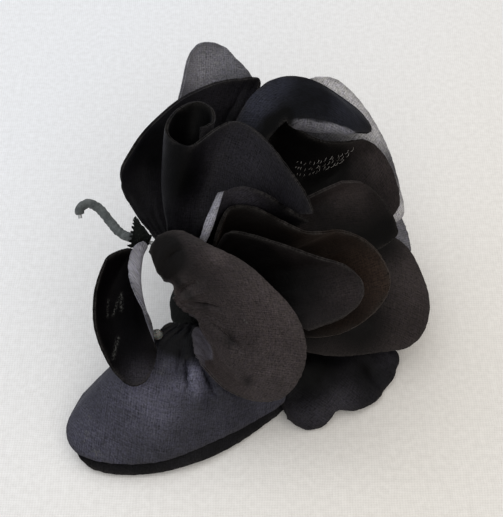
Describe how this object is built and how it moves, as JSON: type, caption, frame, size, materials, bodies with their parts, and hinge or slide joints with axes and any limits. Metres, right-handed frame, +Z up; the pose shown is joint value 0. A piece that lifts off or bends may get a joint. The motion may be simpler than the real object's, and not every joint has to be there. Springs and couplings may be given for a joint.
{
  "type": "flower hair clip",
  "caption": "Black satin fabric flower of layered, curled and rolled petals with a pinked calyx and taped wire stem, on a sprung alligator hair clip",
  "frame": {"origin": "On the clip's lower face, on its middle line, under the flower's core; the part rests on Z = 0", "axes": "Z up from the clip to the petals, X along the clip towards its thumb tabs, Y across the clip, away from the lowest petals"},
  "size_m": [0.0818, 0.0873, 0.051],
  "materials": {
    "black_satin": "stiffened satin, two bonded plies, a soft sheen and raw edges",
    "grey_satin": "stiffened satin, dull side out, charcoal grey",
    "wadding": "waxed wadding, dull",
    "thread": "waxed linen thread",
    "pinked_cloth": "pinked cotton, dull green-black",
    "bare_wire": "drawn wire",
    "floral_tape": "waxed crepe tape, faded grey-green",
    "glue": "set hot glue, cloudy",
    "felt": "pressed wool felt",
    "black_enamel": "baked black enamel",
    "steel": "bright spring steel"
  },
  "bodies": {
    "flower": {"lower_left_petal": "black_satin", "lower_left_under_petal": "black_satin", "lower_right_petal": "black_satin", "right_petal": "black_satin", "inner_right_petal": "black_satin", "heart_hood_petal": "black_satin", "heart_outer_petal": "black_satin", "heart_inner_petal": "black_satin", "heart_bud_petal": "black_satin", "front_petal": "black_satin", "left_loop_petal": "black_satin", "rolled_petal": "black_satin", "upper_left_petal": "black_satin", "top_petal": "grey_satin", "upper_right_petal": "black_satin", "frayed_petal": "black_satin", "back_right_petal": "grey_satin", "back_petal": "grey_satin", "back_low_petal": "grey_satin", "flower_core": "wadding", "binding_thread": "thread", "calyx": "pinked_cloth", "stem_wire": "bare_wire", "stem_tape": "floral_tape", "glue_bead": "glue", "felt_disc": "felt", "clip_top_arm": "black_enamel", "hinge_pin": "steel", "clip_spring": "steel"},
    "jaw": {"clip_lower_jaw": "black_enamel"}
  },
  "joints": [
    {"name": "jaw_hinge", "type": "hinge", "parent": "jaw", "child": "flower", "pos_m": [0.018, 0, 0.0042], "axis": [0, 1, 0], "range_deg": [0, 30], "stiffness_Nm_per_rad": 0.03, "springref_deg": -34.38, "deforming": ["clip_spring"]}
  ]
}
